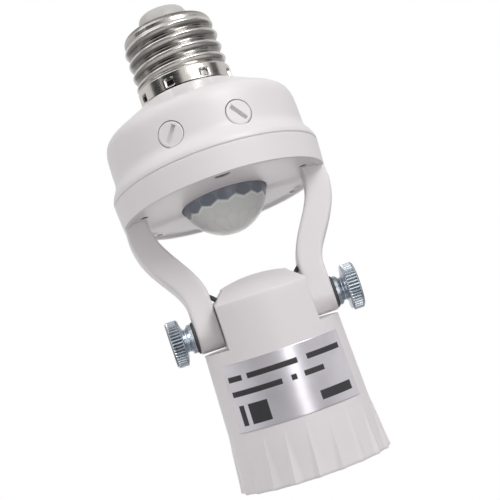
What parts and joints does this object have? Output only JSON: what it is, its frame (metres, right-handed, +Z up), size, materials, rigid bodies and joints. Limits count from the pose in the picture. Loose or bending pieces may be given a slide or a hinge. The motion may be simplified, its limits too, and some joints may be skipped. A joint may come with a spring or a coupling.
{
  "type": "motion sensor lamp holder",
  "caption": "Screw-in lamp holder with a round motion sensor drum, dome lens, two side adjusters and a tilting lamp socket clamped between two arms by thumbscrews.",
  "frame": {"origin": "on the screw cap's axis, at the foot of its plain collar", "axes": "Z runs up the screw cap's axis towards its centre contact, X runs along the tilt axis, and the photocell faces -Y"},
  "size_m": [0.0586, 0.0589, 0.1386],
  "materials": {
    "plated_cap": "nickel plated, slightly dull",
    "cap_glass": "off-white, smooth",
    "contact_brass": "bare, smooth",
    "white_plastic": "white, satin moulded",
    "milky_lens": "milky, segmented inside",
    "inner_plastic": "white, matt",
    "sensor_can": "plated",
    "dark_window": "dark, smooth",
    "photocell_film": "matt film under clear coat",
    "board_green": "lacquered",
    "relay_blue": "smooth",
    "capacitor_red": "dipped",
    "black_plastic": "smooth",
    "zinc_plated": "bright zinc plated",
    "wire_cover": "smooth",
    "dark_washer": "matt",
    "foil_label": "satin foil, bare"
  },
  "bodies": {
    "drum": {"cap_shell": "plated_cap", "cap_insulator": "cap_glass", "cap_contact": "contact_brass", "upper_housing": "white_plastic", "sensor_cover": "white_plastic", "dome_lens": "milky_lens", "lens_retainer": "inner_plastic", "pir_sensor": "sensor_can", "pir_window": "dark_window", "photocell": "photocell_film", "photocell_window": "dark_window", "circuit_board": "board_green", "relay": "relay_blue", "film_capacitor": "capacitor_red", "smoothing_capacitor": "black_plastic", "board_parts": "black_plastic", "time_trimmer": "relay_blue", "lux_trimmer": "relay_blue", "cover_screws": "zinc_plated", "cap_leads": "wire_cover", "arm_leads": "wire_cover", "washers": "dark_washer", "bridging_wires": "wire_cover"},
    "time_adjuster": {"time_knob": "white_plastic"},
    "lux_adjuster": {"lux_knob": "white_plastic"},
    "socket": {"socket_body": "white_plastic", "threaded_inserts": "contact_brass", "socket_liner": "inner_plastic", "screw_shell": "plated_cap", "contact_base": "cap_glass", "socket_terminals": "contact_brass", "rating_label": "foil_label"},
    "contact": {"contact_leaf": "contact_brass"},
    "left_thumbscrew": {"thumbscrew_left": "zinc_plated"},
    "right_thumbscrew": {"thumbscrew_right": "zinc_plated"}
  },
  "joints": [
    {"name": "socket_tilt", "type": "hinge", "parent": "drum", "child": "socket", "pos_m": [0, 0, -0.0653], "axis": [1, 0, 0], "range_deg": [-101.8, 78.2], "deforming": ["bridging_wires"]},
    {"name": "time_turn", "type": "hinge", "parent": "drum", "child": "time_adjuster", "pos_m": [-0.00951, -0.0257, -0.0164], "axis": [-0.3469, -0.9379, 0], "range_deg": [-130, 130]},
    {"name": "lux_turn", "type": "hinge", "parent": "drum", "child": "lux_adjuster", "pos_m": [0.00951, -0.0257, -0.0164], "axis": [0.3469, -0.9379, 0], "range_deg": [-130, 130]},
    {"name": "left_thumbscrew_turn", "type": "hinge", "parent": "socket", "child": "left_thumbscrew", "pos_m": [-0.0234, 0, -0.0653], "axis": [-1, 0, 0], "continuous": true},
    {"name": "right_thumbscrew_turn", "type": "hinge", "parent": "socket", "child": "right_thumbscrew", "pos_m": [0.0234, 0, -0.0653], "axis": [1, 0, 0], "continuous": true},
    {"name": "contact_press", "type": "hinge", "parent": "socket", "child": "contact", "pos_m": [-0.0026, 0.00248, -0.0772], "axis": [0, -0.9789, -0.2045], "range_deg": [0, 10], "stiffness_Nm_per_rad": 0.25}
  ]
}
